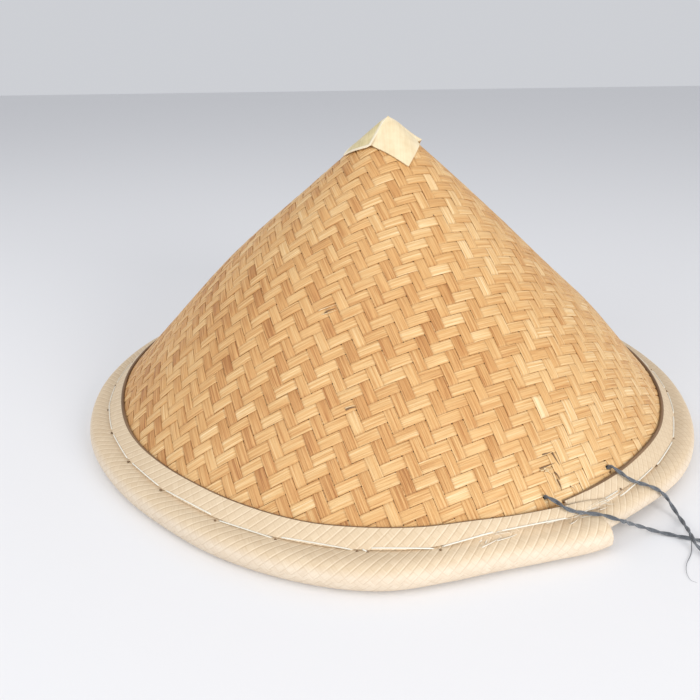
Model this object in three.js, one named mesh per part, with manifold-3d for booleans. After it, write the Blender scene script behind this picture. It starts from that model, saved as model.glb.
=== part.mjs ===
// Conical hat of woven bamboo, resting on its padded mat brim.
// Millimetres, +Z up, front towards -Y, origin on the table under the middle of the brim.
// Angles are in degrees to the right of the front, seen by someone who faces the hat.
import * as THREE from 'three';
import { mergeVertices } from 'three/addons/utils/BufferGeometryUtils.js';
import Module from 'manifold-3d';

// Crown: the slope of its outer face, from the point down to the edge inside the brim
const CROWN_POINT_HEIGHT = 208;
const CROWN_EDGE_RADIUS = 205.9;
const CROWN_EDGE_HEIGHT = 15.2;
const CROWN_BOW = 6.9; // how far the slope bows outward half way down
const CROWN_WALL = 1.8;
const CROWN_SIDES = 72;
const BLUNT_POINT_HEIGHT = 205.6; // the woven point is rounded off under the cap
const BLUNT_LENGTH = 8; // down the slope from the point to where the rounding starts
const CLEARANCE = 0.3;

// Where the slope stands off that plain cone: angle and distance up from the edge of the
// middle of each swell, how far it stands out, and how far it spreads round and up
const SWELLS = [
  { angle: -98, up: 133, out: 2.9, round: 45, tall: 60 },
  { angle: 92, up: 80, out: 1.8, round: 40, tall: 32 },
];

// Holes for the tie cord, drilled square to the slope
const CORD_HOLE_DIAMETER = 4.6;
const CORD_HOLES = [
  { angle: 23.2, up: 18.4 },
  { angle: 38.3, up: 19.4 },
];

// Cap: a sheath folded over the point in three leaves that meet at three creases
const CAP_WALL = 0.9;
const CAP_POINT_HEIGHT = 209.5;
const CAP_INNER_POINT_HEIGHT = BLUNT_POINT_HEIGHT + 0.4;
const CAP_FIRST_CREASE_ANGLE = -33;
const CAP_CREASE_LENGTH = 27;
const CAP_CORNER_LENGTH = 44; // from the point to a leaf's outer corner
const CAP_CORNER_SHARE = 0.44; // how far round its leaf the corner stands
const CAP_CREASE_RISE = 1.1;
const CAP_CREASE_HALF_WIDTH = 9; // degrees
const CAP_LEAVES = 3;

// Band: a flat strip on the slope, starting under its own tapered tail.
// upper and lower are its two edges, in distance up the slope from the crown's edge.
const BAND_THICKNESS = 2.2;
const BAND_EDGE_ROUND = 0.4;
const BAND_STEP = 4.5;
const BAND_START_ANGLE = 26;
const BAND_TAIL_ANGLE = 393;
const BAND_LIFT_ANGLE = 374; // from here the strip climbs to lie over its own start
const BAND_EDGES = [
  { angle: 26, upper: 13.4, lower: 7.6 },
  { angle: 36, upper: 14.5, lower: 7.2 },
  { angle: 48, upper: 14.5, lower: 6.6 },
  { angle: 61, upper: 12.3, lower: 4.6 },
  { angle: 80, upper: 13.2, lower: 4.6 },
  { angle: 130, upper: 14.2, lower: 4.1 },
  { angle: 200, upper: 13.6, lower: 4.4 },
  { angle: 260, upper: 15.0, lower: 4.1 },
  { angle: 284, upper: 16.0, lower: 4.3 },
  { angle: 307, upper: 14.2, lower: 6.6 },
  { angle: 330, upper: 14.6, lower: 4.0 },
  { angle: 348, upper: 12.9, lower: 3.9 },
  { angle: 362, upper: 13.8, lower: 4.1 },
  { angle: 373, upper: 14.5, lower: 7.0 },
  { angle: 386, upper: 11.4, lower: 7.6 },
  { angle: 393, upper: 9.6, lower: 8.0 },
];

// Roll: the padded rim round the crown's edge. It starts thin, clear of the table, and its
// last turn ends in a blunt cut that stands out over the start.
const ROLL_START_ANGLE = 32;
const ROLL_STEP = 4.4;
const ROLL_CUT = 0.1; // degrees between the blunt end and the thin start
const ROLL_HEIGHT = 17.6;
const ROLL_NOSE = 8.6; // from the crest out to the widest place
const ROLL_INNER_RADIUS = 198;
const ROLL_SEAT_RADIUS = 202.6; // inner edge of the flat that rests on the table
const ROLL_INNER_LIP_UP = 3; // how far the roll reaches up the crown's inner face
const SLOT_DEPTH_PAST_EDGE = 0.4;
const ROLL_OUTLINE = [
  { angle: 32, outer: 212.3, under: 3.6 },
  { angle: 40, outer: 213.2, under: 3.4 },
  { angle: 47, outer: 215.5, under: 2.4 },
  { angle: 54, outer: 218.4, under: 0.7 },
  { angle: 61, outer: 219.8, under: 0 },
  { angle: 90, outer: 220.4, under: 0 },
  { angle: 125, outer: 219.2, under: 0 },
  { angle: 180, outer: 220.6, under: 0 },
  { angle: 235, outer: 219.0, under: 0 },
  { angle: 272, outer: 220.6, under: 0 },
  { angle: 292, outer: 219.8, under: 0 },
  { angle: 310, outer: 216.8, under: 0 },
  { angle: 320, outer: 216.4, under: 0 },
  { angle: 333, outer: 218.8, under: 0 },
  { angle: 347, outer: 221.2, under: 0 },
  { angle: 357, outer: 220.9, under: 0 },
  { angle: 366, outer: 215.8, under: 0 },
  { angle: 373, outer: 213.2, under: 0 },
  { angle: 381, outer: 215.2, under: 0 },
  { angle: 387, outer: 219.0, under: 0 },
  { angle: 392, outer: 221.0, under: 0 },
];

// Tie cord: one whole loop. It starts inside the crown beside the first hole, comes out there,
// crosses the brim to the table, turns back in a bight, crosses over itself, and goes back
// through the second hole and along the crown's inner face to where it started.
const CORD_DIAMETER = 2.5;
const CORD_SIDES = 8;
const CORD_STEPS = 96;
const CORD_ROUTE = [
  [87.6, -170.5, 25.2], [78.8, -172.9, 25.0], [76.5, -174.2, 25.6], [76.0, -177.0, 28.0],
  [76.5, -178.5, 29.4], [78.1, -180.7, 29.6], [81.4, -183.3, 28.7], [84.6, -186.0, 27.5],
  [88.3, -186.4, 25.9], [91.6, -185.2, 24.0], [96.2, -182.5, 21.4], [100.2, -181.5, 20.2],
  [107.0, -182.3, 19.6], [112.2, -184.7, 19.1], [117.4, -183.6, 16.4], [122.9, -179.1, 11.5],
  [133.3, -174.8, 5.2], [141.9, -174.4, 1.8], [149.4, -176.8, 1.3], [158.7, -180.4, 1.3],
  [171.0, -184.6, 1.3], [184.0, -188.6, 1.3], [193.0, -194.5, 1.3], [195.5, -203.5, 1.3],
  [190.0, -211.5, 1.3], [180.0, -214.0, 1.3], [169.0, -209.5, 1.3], [158.6, -190.6, 2.8],
  [157.2, -183.4, 4.1], [158.0, -179.2, 4.1], [159.7, -170.6, 2.2], [160.2, -164.2, 1.6],
  [158.7, -157.2, 3.8], [154.9, -153.6, 9.4], [150.8, -154.5, 13.6], [146.4, -155.8, 17.3],
  [141.0, -154.9, 19.3], [136.9, -154.3, 20.2], [132.2, -156.8, 23.4], [128.4, -156.8, 25.9],
  [125.4, -156.2, 28.0], [122.5, -155.1, 29.9], [120.7, -153.4, 30.8], [119.8, -151.8, 30.0],
  [118.9, -150.5, 28.5], [116.4, -149.8, 26.3], [114.1, -151.4, 25.5], [103.3, -161.5, 25.2],
  [88.2, -170.2, 25.2],
];

const slope = new THREE.QuadraticBezierCurve(
  new THREE.Vector2(CROWN_EDGE_RADIUS, CROWN_EDGE_HEIGHT),
  new THREE.Vector2(
    CROWN_EDGE_RADIUS / 2 + 2 * CROWN_BOW,
    (CROWN_EDGE_HEIGHT + CROWN_POINT_HEIGHT) / 2,
  ),
  new THREE.Vector2(0, CROWN_POINT_HEIGHT),
);
const SLOPE_LENGTH = slope.getLength();

const radians = THREE.MathUtils.degToRad;
const blend = THREE.MathUtils.lerp;

// Point at a radius and height, turned to an angle right of front
function turned(angle, radius, height) {
  const a = radians(angle);
  return new THREE.Vector3(radius * Math.sin(a), -radius * Math.cos(a), height);
}

// Smooth bell that is 1 at 0 and fades within a few widths
function bell(offset, width) {
  return Math.exp(-((offset / width) ** 2));
}

// Smallest turn from one angle to another
function angleBetween(from, to) {
  return THREE.MathUtils.euclideanModulo(to - from + 180, 360) - 180;
}

// Radius and height at a distance up the slope from the crown's edge, standing off the
// outer face by so much. Past the edge the slope runs on straight.
function offSlope(angle, up, off) {
  const share = THREE.MathUtils.clamp(up / SLOPE_LENGTH, 0, 1);
  const place = slope.getPointAt(share);
  const along = slope.getTangentAt(share);
  place.addScaledVector(along, Math.min(up, 0));
  let stand = off;
  for (const swell of SWELLS) {
    const round = bell(angleBetween(swell.angle, angle), swell.round);
    stand += swell.out * round * bell(up - swell.up, swell.tall);
  }
  return { radius: place.x + along.y * stand, height: place.y - along.x * stand };
}

function onCrown(angle, up, off) {
  const place = offSlope(angle, up, off);
  return turned(angle, place.radius, place.height);
}

// Value of one column of a table at an angle, on a smooth curve through its rows
function readTable(table, column, angle) {
  const last = table.length - 1;
  let row = 0;
  while (row < last - 1 && table[row + 1].angle <= angle) row += 1;
  const [from, to] = [table[row], table[row + 1]];
  const before = table[Math.max(row - 1, 0)];
  const after = table[Math.min(row + 2, last)];
  const width = to.angle - from.angle;
  const share = (angle - from.angle) / width;
  const startRate = (to[column] - before[column]) / (to.angle - before.angle);
  const endRate = (after[column] - from[column]) / (after.angle - from.angle);
  const left = 1 - share;
  return (
    from[column] * (1 + 2 * share) * left ** 2 +
    to[column] * (3 - 2 * share) * share ** 2 +
    width * share * left * (startRate * left - endRate * share)
  );
}

// Closed skin through rings of equal length. Each end closes on a point, or with a flat
// face where no point is given, or the last ring joins the first.
function skin(rings, { startPoint = null, endPoint = null, joined = false } = {}) {
  const size = rings[0].length;
  const points = rings.flat();
  const faces = [];
  const spans = joined ? rings.length : rings.length - 1;
  for (let r = 0; r < spans; r += 1) {
    const here = r * size;
    const next = ((r + 1) % rings.length) * size;
    for (let k = 0; k < size; k += 1) {
      const side = (k + 1) % size;
      faces.push([here + k, next + k, next + side], [here + k, next + side, here + side]);
    }
  }
  const closeEnd = (first, point, turn) => {
    const hub = point ? points.push(point) - 1 : first;
    for (let k = point ? 0 : 1; k < (point ? size : size - 1); k += 1) {
      const pair = [first + k, first + ((k + 1) % size)];
      faces.push(turn ? [hub, ...pair] : [hub, ...pair.reverse()]);
    }
  };
  if (!joined) {
    closeEnd(0, startPoint, true);
    closeEnd((rings.length - 1) * size, endPoint, false);
  }
  const volume = faces.reduce((sum, [a, b, c]) => {
    const cross = new THREE.Vector3().crossVectors(points[b], points[c]);
    return sum + points[a].dot(cross);
  }, 0);
  const outward = volume > 0 ? faces : faces.map((face) => [...face].reverse());
  const geometry = new THREE.BufferGeometry().setFromPoints(points);
  geometry.setIndex(outward.flat());
  return geometry;
}

function ringOfAngles(sides, start = 0) {
  return Array.from({ length: sides }, (_, k) => start + (360 * k) / sides);
}

const wasm = await Module();
wasm.setup();

function solidOf(geometry) {
  const bare = geometry.clone();
  bare.deleteAttribute('normal');
  bare.deleteAttribute('uv');
  const merged = mergeVertices(bare);
  return new wasm.Manifold(new wasm.Mesh({
    numProp: 3,
    vertProperties: new Float32Array(merged.attributes.position.array),
    triVerts: new Uint32Array(merged.index.array),
  }));
}

function geometryOf(solid) {
  const mesh = solid.getMesh();
  const geometry = new THREE.BufferGeometry();
  geometry.setAttribute('position', new THREE.BufferAttribute(mesh.vertProperties, 3));
  geometry.setIndex(new THREE.BufferAttribute(mesh.triVerts, 1));
  return geometry;
}

// A pin square to the slope, long enough to cut right through the wall
function cordHolePin({ angle, up }) {
  const outside = onCrown(angle, up, CROWN_WALL);
  const inside = onCrown(angle, up, -2 * CROWN_WALL);
  const sides = 12;
  const radius = CORD_HOLE_DIAMETER / 2;
  const pin = new THREE.CylinderGeometry(radius, radius, outside.distanceTo(inside), sides);
  const axis = outside.clone().sub(inside).normalize();
  const turn = new THREE.Quaternion().setFromUnitVectors(new THREE.Vector3(0, 1, 0), axis);
  pin.applyQuaternion(turn);
  const middle = outside.add(inside).multiplyScalar(0.5);
  return pin.translate(middle.x, middle.y, middle.z);
}

// Woven crown: outer face from the blunt point down to the edge, and the inner face back up
function crownGeometry() {
  const angles = ringOfAngles(CROWN_SIDES);
  const topOuter = SLOPE_LENGTH - BLUNT_LENGTH;
  const topInner = SLOPE_LENGTH - BLUNT_LENGTH - 3 * CROWN_WALL;
  const rows = 11;
  const ring = (up, off) => angles.map((angle) => onCrown(angle, up, off));
  const outerRows = Array.from({ length: rows }, (_, k) =>
    ring(topOuter * (1 - k / (rows - 1)), 0));
  const innerRows = Array.from({ length: rows }, (_, k) =>
    ring((topInner * k) / (rows - 1), -CROWN_WALL));
  const shell = skin([...outerRows, ...innerRows], {
    startPoint: new THREE.Vector3(0, 0, BLUNT_POINT_HEIGHT),
    endPoint: new THREE.Vector3(0, 0, BLUNT_POINT_HEIGHT - 1.3 * CROWN_WALL),
  });
  let solid = solidOf(shell);
  for (const hole of CORD_HOLES) {
    solid = solid.subtract(solidOf(cordHolePin(hole)));
  }
  return geometryOf(solid);
}

// How far down the slope the cap reaches at an angle: the straight edge of a flat leaf, as
// it lies before the leaf is bent round the cone, from a crease's foot to its corner
function capReach(angle) {
  const leaf = 360 / CAP_LEAVES;
  const opened = CROWN_EDGE_RADIUS / SLOPE_LENGTH;
  const fromCrease = THREE.MathUtils.euclideanModulo(angle - CAP_FIRST_CREASE_ANGLE, leaf);
  const corner = leaf * CAP_CORNER_SHARE;
  const [side, toCrease] = fromCrease < corner
    ? [corner, fromCrease]
    : [leaf - corner, leaf - fromCrease];
  const whole = radians(side * opened);
  const part = radians(toCrease * opened);
  const creasePart = CAP_CREASE_LENGTH * Math.sin(part);
  const cornerPart = CAP_CORNER_LENGTH * Math.sin(whole - part);
  return (CAP_CREASE_LENGTH * CAP_CORNER_LENGTH * Math.sin(whole)) / (creasePart + cornerPart);
}

// Folded cap: rings round the cone that shrink towards the point, raised along the creases
function capGeometry() {
  const sidesPerLeaf = 20;
  const angles = ringOfAngles(CAP_LEAVES * sidesPerLeaf, CAP_FIRST_CREASE_ANGLE);
  const shares = [0, 0.35, 0.7, 1];
  const ring = (share, off) => angles.map((angle) => {
    const nearest = angleBetween(0, CAP_LEAVES * (angle - CAP_FIRST_CREASE_ANGLE)) / CAP_LEAVES;
    const crease = CAP_CREASE_RISE * bell(nearest, CAP_CREASE_HALF_WIDTH) * (0.3 + 0.7 * share);
    const down = blend(BLUNT_LENGTH, capReach(angle), share);
    return onCrown(angle, SLOPE_LENGTH - down, off + crease);
  });
  const outer = shares.map((share) => ring(share, CLEARANCE + CAP_WALL));
  const inner = shares.map((share) => ring(share, CLEARANCE)).reverse();
  return skin([...outer, ...inner], {
    startPoint: new THREE.Vector3(0, 0, CAP_POINT_HEIGHT),
    endPoint: new THREE.Vector3(0, 0, CAP_INNER_POINT_HEIGHT),
  });
}

// The band's own lower edge at any angle, without the tail
function bandLower(angle) {
  const turn = THREE.MathUtils.euclideanModulo(angle - BAND_START_ANGLE, 360);
  return readTable(BAND_EDGES, 'lower', BAND_START_ANGLE + turn);
}

// Angles from start to end in even steps no wider than the given one
function evenAngles(start, end, step) {
  const count = Math.ceil((end - start) / step);
  return Array.from({ length: count + 1 }, (_, k) => start + ((end - start) * k) / count);
}

// Flat band: one strip wound once round the slope, whose tail lies over its start
function bandGeometry() {
  const sections = evenAngles(BAND_START_ANGLE, BAND_TAIL_ANGLE, BAND_STEP).map((angle) => {
    const climb = THREE.MathUtils.smoothstep(angle, BAND_LIFT_ANGLE, BAND_START_ANGLE + 359);
    const bottom = CLEARANCE + climb * (BAND_THICKNESS + CLEARANCE);
    const top = bottom + BAND_THICKNESS;
    const upper = readTable(BAND_EDGES, 'upper', angle);
    const lower = readTable(BAND_EDGES, 'lower', angle);
    const round = BAND_EDGE_ROUND;
    return [
      [upper, bottom], [upper, top - round], [upper - round, top],
      [lower + round, top], [lower, top - round], [lower, bottom],
    ].map(([up, off]) => onCrown(angle, up, off));
  });
  return skin(sections);
}

// One cut through the roll: lip, crest, round nose, flat seat, inner side, and the slot that
// holds the crown's edge
function rollSection(angle, outer, under) {
  const lip = offSlope(angle, bandLower(angle) - CLEARANCE, CLEARANCE);
  const crestRadius = outer - ROLL_NOSE;
  const half = (ROLL_HEIGHT - under) / 2;
  const middle = under + half;
  const nose = [90, 66, 42, 16, -12, -40, -66, -90].map((degrees) => ({
    radius: crestRadius + ROLL_NOSE * Math.cos(radians(degrees)),
    height: middle + half * Math.sin(radians(degrees)),
  }));
  const shoulder = {
    radius: blend(lip.radius, crestRadius, 0.4),
    height: blend(lip.height, ROLL_HEIGHT, 0.6),
  };
  const innerLip = offSlope(angle, ROLL_INNER_LIP_UP, -CROWN_WALL - CLEARANCE);
  const inner = [
    { radius: ROLL_SEAT_RADIUS, height: under },
    { radius: blend(ROLL_INNER_RADIUS, ROLL_SEAT_RADIUS, 0.25), height: under + 1.7 },
    { radius: ROLL_INNER_RADIUS, height: under + 5.5 },
    { radius: blend(ROLL_INNER_RADIUS, innerLip.radius, 0.3), height: 11.8 },
  ];
  const slotFloor = [
    offSlope(angle, -SLOT_DEPTH_PAST_EDGE, -CROWN_WALL - CLEARANCE),
    offSlope(angle, -SLOT_DEPTH_PAST_EDGE, CLEARANCE),
  ];
  return [lip, shoulder, ...nose, ...inner, innerLip, ...slotFloor]
    .map(({ radius, height }) => turned(angle, radius, height));
}

function rollGeometry() {
  const end = ROLL_START_ANGLE + 360 - ROLL_CUT;
  const sections = evenAngles(ROLL_START_ANGLE, end, ROLL_STEP).map((angle) => {
    const outer = readTable(ROLL_OUTLINE, 'outer', angle);
    const under = Math.max(readTable(ROLL_OUTLINE, 'under', angle), 0);
    return rollSection(angle, outer, under);
  });
  return skin(sections, { joined: true });
}

// A smooth curve whose steps keep to its own points, which lie closer together in the bends
class HandPlacedCurve extends THREE.CatmullRomCurve3 {
  getPointAt(share, target) {
    return this.getPoint(share, target);
  }

  getTangentAt(share, target) {
    return this.getTangent(share, target);
  }
}

// Round cord along its route
function cordGeometry() {
  const points = CORD_ROUTE.map(([x, y, z]) => new THREE.Vector3(x, y, z));
  const round = ringOfAngles(CORD_SIDES).map((angle) => new THREE.Vector2(
    Math.cos(radians(angle)) * (CORD_DIAMETER / 2),
    Math.sin(radians(angle)) * (CORD_DIAMETER / 2),
  ));
  return new THREE.ExtrudeGeometry(new THREE.Shape(round), {
    extrudePath: new HandPlacedCurve(points),
    steps: CORD_STEPS,
    bevelEnabled: false,
  });
}

// A straw-like surface has no metal in it, so only colour and roughness differ
function piece(name, geometry, color, roughness) {
  const material = new THREE.MeshStandardMaterial({ color, roughness, metalness: 0 });
  const mesh = new THREE.Mesh(geometry, material);
  mesh.name = name;
  return mesh;
}

const hat = new THREE.Group();
hat.add(piece('crown', crownGeometry(), 0xd8a862, 0.6));
hat.add(piece('apex_cap', capGeometry(), 0xf0e0b4, 0.5));
hat.add(piece('brim_band', bandGeometry(), 0xe6cfa4, 0.75));
hat.add(piece('brim_roll', rollGeometry(), 0xead6b2, 0.75));
hat.add(piece('tie_cord', cordGeometry(), 0x3f444c, 0.7));

export default hat;
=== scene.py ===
# %% [markdown]
# # A conical hat of woven bamboo
# This lesson dresses the plain solids of a conical hat: its twill of split bamboo, the pale
# sheath on its point, the plaited mat round its brim with its stitches, and the tie cord.
# Everything is in metres. The front of the hat faces -Y, and +Z is up.

import math
import random

import bpy
import numpy as np
from mathutils import Matrix, Vector


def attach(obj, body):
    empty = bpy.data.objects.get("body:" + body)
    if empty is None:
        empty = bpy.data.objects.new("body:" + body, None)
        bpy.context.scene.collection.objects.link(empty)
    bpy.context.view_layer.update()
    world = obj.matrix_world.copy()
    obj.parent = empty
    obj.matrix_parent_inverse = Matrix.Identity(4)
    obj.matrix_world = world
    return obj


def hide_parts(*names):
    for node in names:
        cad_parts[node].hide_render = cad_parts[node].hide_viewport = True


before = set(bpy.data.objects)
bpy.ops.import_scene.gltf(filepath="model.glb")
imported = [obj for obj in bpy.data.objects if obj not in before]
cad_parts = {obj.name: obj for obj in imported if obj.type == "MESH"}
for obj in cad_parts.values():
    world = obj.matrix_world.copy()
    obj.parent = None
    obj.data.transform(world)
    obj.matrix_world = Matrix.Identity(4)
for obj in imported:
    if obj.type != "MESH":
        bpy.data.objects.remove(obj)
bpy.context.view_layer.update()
print("solids:", sorted(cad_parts))

# %% [markdown]
# ## The camera
# The hat was seen from a little above the brim, near its middle. A camera is a place, a
# direction and a lens. Here all three come from fitting the round brim and the cone, so the
# brim's ellipse and the slopes of the cone come out as they were seen.

# %% Camera
camera_data = bpy.data.cameras.new("camera")
camera_data.sensor_width = 36
camera_data.lens = 36 * 684.1 / 700
camera_data.shift_x = 1.5 / 700
camera_data.clip_start = 0.01
camera = bpy.data.objects.new("camera", camera_data)
bpy.context.collection.objects.link(camera)
view_back = Vector((0, -0.9138, 0.4062))
view_up = Vector((0.0142, 0.4061, 0.9137))
view_right = view_up.cross(view_back).normalized()
view_up = view_back.cross(view_right).normalized()
turn = Matrix((view_right, view_up, view_back.normalized())).transposed().to_4x4()
camera.matrix_world = Matrix.Translation((-0.0287, -0.4811, 0.2516)) @ turn
bpy.context.scene.camera = camera
print("camera at", [round(value, 4) for value in camera.matrix_world.translation])

# %% [markdown]
# ## Turning lists of points into pieces
# Long thin things such as cords, threads and splints repeat thousands of times along curved
# lines. They could be modelled one by one with the edit tools, but rings of points laid along
# a line give the same shape exactly, so one helper makes a mesh from rings.

# %% Helpers for meshes
MM = 0.001


def new_piece(name, points, faces, material, smooth_angle=None):
    """A mesh object at the origin that rides on the hat. Points are in millimetres."""
    mesh = bpy.data.meshes.new(name)
    mesh.from_pydata((points * MM).tolist(), [], faces)
    piece = bpy.data.objects.new(name, mesh)
    bpy.context.collection.objects.link(piece)
    finish_piece(piece, material, smooth_angle)
    return piece


def finish_piece(piece, material, smooth_angle=None):
    """Its finish and smooth shading, and its place on the hat and in the list of finishes."""
    piece.data.materials.append(material)
    bpy.ops.object.select_all(action="DESELECT")
    piece.select_set(True)
    bpy.context.view_layer.objects.active = piece
    if smooth_angle is None:
        bpy.ops.object.shade_smooth()
    else:
        bpy.ops.object.shade_smooth_by_angle(angle=math.radians(smooth_angle))
    piece.select_set(False)
    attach(piece, "root")
    print(piece.name, len(piece.data.vertices), "points")


def write_attribute(piece, name, values):
    """One number for each point of the mesh, which a material can read."""
    attribute = piece.data.attributes.new(name, "FLOAT", "POINT")
    attribute.data.foreach_set("value", np.asarray(values, np.float32))


def write_uv(piece, across, along):
    """A flat map in millimetres, given for each point."""
    corner_points = np.empty(len(piece.data.loops), np.int32)
    piece.data.loops.foreach_get("vertex_index", corner_points)
    places = np.stack([np.asarray(across), np.asarray(along)], 1)[corner_points]
    layer = piece.data.uv_layers.new(name="lay")
    layer.data.foreach_set("uv", places.astype(np.float32).ravel())


def ring_faces(first, rings, sides):
    """Faces of a closed tube whose rings follow each other, with a flat face at both ends."""
    here = first + np.arange(rings - 1)[:, None] * sides
    side = np.arange(sides)
    other = np.roll(side, -1)
    walls = np.stack([here + side, here + other, here + sides + other, here + sides + side], -1)
    return [*walls.reshape(-1, 4).tolist(), (first + side[::-1]).tolist(),
            (first + (rings - 1) * sides + side).tolist()]


def mesh_places(piece):
    """The points of a mesh, as an array."""
    flat = np.empty(len(piece.data.vertices) * 3)
    piece.data.vertices.foreach_get("co", flat)
    return flat.reshape(-1, 3)


def lay_mesh(piece, places):
    """Moves the points of a mesh to places given in millimetres."""
    piece.data.vertices.foreach_set("co", (places * MM).ravel())
    piece.data.update()


def turn_faces_outward():
    """Gives the faces of the active mesh one way round."""
    bpy.ops.object.mode_set(mode="EDIT")
    bpy.ops.mesh.select_all(action="SELECT")
    bpy.ops.mesh.normals_make_consistent(inside=False)
    bpy.ops.object.mode_set(mode="OBJECT")


def new_grid(name, columns, rows):
    """A square grid, and how far across and up it each of its points lies, from 0 to 1."""
    bpy.ops.mesh.primitive_grid_add(x_subdivisions=columns, y_subdivisions=rows, size=2.0)
    grid = bpy.context.object
    grid.name = name
    return grid, *((mesh_places(grid)[:, :2] + 1) / 2).T


def thicken(piece, thickness, offset):
    """Gives a sheet its wall. Offset 0 puts it on both sides, and -1 on the inside."""
    wall = piece.modifiers.new("wall", "SOLIDIFY")
    wall.thickness = thickness * MM
    wall.offset = offset
    bpy.ops.object.modifier_apply(modifier="wall")


def smooth_line(points, steps_per_span):
    """A curve through all the points, with its own points closer together in the bends."""
    points = np.asarray(points, float)
    ends = np.vstack([2 * points[0] - points[1], points, 2 * points[-1] - points[-2]])
    a, b, c, d = [ends[first : len(points) - 1 + first, None] for first in range(4)]
    t = np.arange(steps_per_span)[:, None] / steps_per_span
    spans = 0.5 * (2 * b + (c - a) * t + (2 * a - 5 * b + 4 * c - d) * t**2
                   + (3 * b - a - 3 * c + d) * t**3)
    return np.vstack([spans.reshape(-1, points.shape[1]), points[-1:]])


def lengths_along(line):
    """How far along a line each of its points lies."""
    return np.concatenate([[0], np.cumsum(np.linalg.norm(np.diff(line, axis=0), axis=1))])


def round_place(angle, radius, height):
    """Points from degrees to the right of the front, distance from the axis, and height."""
    turned = np.radians(angle)
    return np.stack([radius * np.sin(turned), -radius * np.cos(turned), height], -1)


def angle_of(east, north):
    return np.degrees(np.arctan2(east, -north))


def hump(value, middle, width):
    """A smooth rise to 1 at the middle, nearly gone two widths from it."""
    return np.exp(-(((value - middle) / width) ** 2))


def frames_along(line):
    """Two directions square to the line at each of its points, turning as little as they can."""
    ahead = np.gradient(line, axis=0)
    ahead /= np.linalg.norm(ahead, axis=1)[:, None]
    side = np.cross(ahead[0], (0.0, 0.0, 1.0))
    if np.linalg.norm(side) < 0.1:
        side = np.cross(ahead[0], (1.0, 0.0, 0.0))
    sides = []
    for direction in ahead:
        side = side - direction * side.dot(direction)
        side = side / np.linalg.norm(side)
        sides.append(side)
    sides = np.array(sides)
    return sides, np.cross(ahead, sides)


def tube_points(line, radii, round_sides):
    """Rings of a round tube along a line."""
    side, lift = [directions[:, None] for directions in frames_along(line)]
    turns = (2 * math.pi * np.arange(round_sides) / round_sides)[:, None]
    radii = np.broadcast_to(radii, len(line))[:, None, None]
    rings = line[:, None] + radii * (np.cos(turns) * side + np.sin(turns) * lift)
    return rings.reshape(-1, 3)


def lay_tubes(name, lines, radii, finish, sides=5, across=0.3, apart=3.1, lean=0.0,
              alongs=None):
    """Closed tubes along lines, in one mesh. The flat map of each turns by lean as it goes on."""
    blocks, faces, count = [], [], 0
    for number, (line, radius) in enumerate(zip(lines, radii)):
        along = np.repeat(np.arange(len(line)) * 1.5 if alongs is None else alongs, sides)
        around = np.tile(np.arange(sides) * across, len(line)) + apart * number + lean * along
        blocks.append(np.column_stack([tube_points(line, radius, sides), around, along]))
        faces += ring_faces(count, len(line), sides)
        count += len(along)
    table = np.vstack(blocks)
    piece = new_piece(name, table[:, :3], faces, finish)
    write_uv(piece, *table[:, 3:].T)
    return piece


# %% [markdown]
# ## Materials from small parts
# Each finish is a Principled shader whose colour, roughness and bump come from nodes. The
# nodes are added in code with short helpers: one adds a node and fills its sockets, and the
# others do sums and mix colours.

# %% Helpers for materials
def fill(node, sockets):
    """Links the sockets of a node to other ones, or gives them plain values."""
    for name, value in sockets.items():
        if isinstance(value, bpy.types.NodeSocket):
            node.id_data.links.new(value, node.inputs[name])
        else:
            node.inputs[name].default_value = value
    return node


def add_node(tree, kind, sockets=None, **settings):
    node = tree.nodes.new("ShaderNode" + kind)
    for name, value in settings.items():
        setattr(node, name, value)
    return fill(node, sockets or {})


def calc(operation, *values):
    """A sum, in the tree of the sockets that go into it."""
    tree = next(value.id_data for value in values if isinstance(value, bpy.types.NodeSocket))
    return add_node(tree, "Math", dict(enumerate(values)), operation=operation).outputs[0]


def times(first, second):
    return calc("MULTIPLY", first, second)


def scaled(value, factor, plus):
    return calc("MULTIPLY_ADD", value, factor, plus)


def mixed(share, first, second):
    """A mix of two colours. Plain ones are given as red, green and blue."""
    first, second = [(*colour, 1) if isinstance(colour, tuple) else colour
                     for colour in (first, second)]
    node = add_node(share.id_data, "Mix", {0: share, 6: first, 7: second}, data_type="RGBA")
    return node.outputs[2]


def remap(value, low, high, to_low=0.0, to_high=1.0):
    return add_node(value.id_data, "MapRange", {
        "Value": value, "From Min": low, "From Max": high, "To Min": to_low, "To Max": to_high,
    }).outputs["Result"]


def fading(value, low, high):
    """1 up to low, and 0 from high on."""
    return remap(value, low, high, 1.0, 0.0)


def new_finish(name, roughness, sheen=0.0):
    """A material with its shader, and its tree to add the rest to."""
    material = bpy.data.materials.new(name)
    material.use_nodes = True
    shader = fill(material.node_tree.nodes["Principled BSDF"], {
        "Roughness": roughness, "Specular IOR Level": 0.35, "Sheen Weight": sheen})
    return material, material.node_tree, shader


def finish_with(shader, colour, height, strength, distance=0.0002):
    """Gives a shader its colour and its bump."""
    bump = add_node(shader.id_data, "Bump", {
        "Strength": strength, "Distance": distance, "Height": height})
    fill(shader, {"Base Color": colour, "Normal": bump.outputs["Normal"]})


def new_group(name, inputs, outputs):
    """A node group with number or vector inputs, and number outputs."""
    group = bpy.data.node_groups.new(name, "ShaderNodeTree")
    for socket_name, kind in inputs.items():
        group.interface.new_socket(socket_name, in_out="INPUT", socket_type="NodeSocket" + kind)
    for socket_name in outputs:
        group.interface.new_socket(socket_name, in_out="OUTPUT", socket_type="NodeSocketFloat")
    return group, group.nodes.new("NodeGroupInput").outputs, group.nodes.new("NodeGroupOutput")


# %% [markdown]
# ## Grain
# Split bamboo, a dried sheath and plaited strips all have the same grain: long fine fibres.
# One group gives it to every finish. It stretches noise along the strip, so that a fibre is a
# fraction of a millimetre across and centimetres long.

# %% Grain group
grain_group, group_in, group_out = new_group(
    "Long fibres", {"Place": "Vector"}, ["Fibre", "Fine", "Line"])


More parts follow.
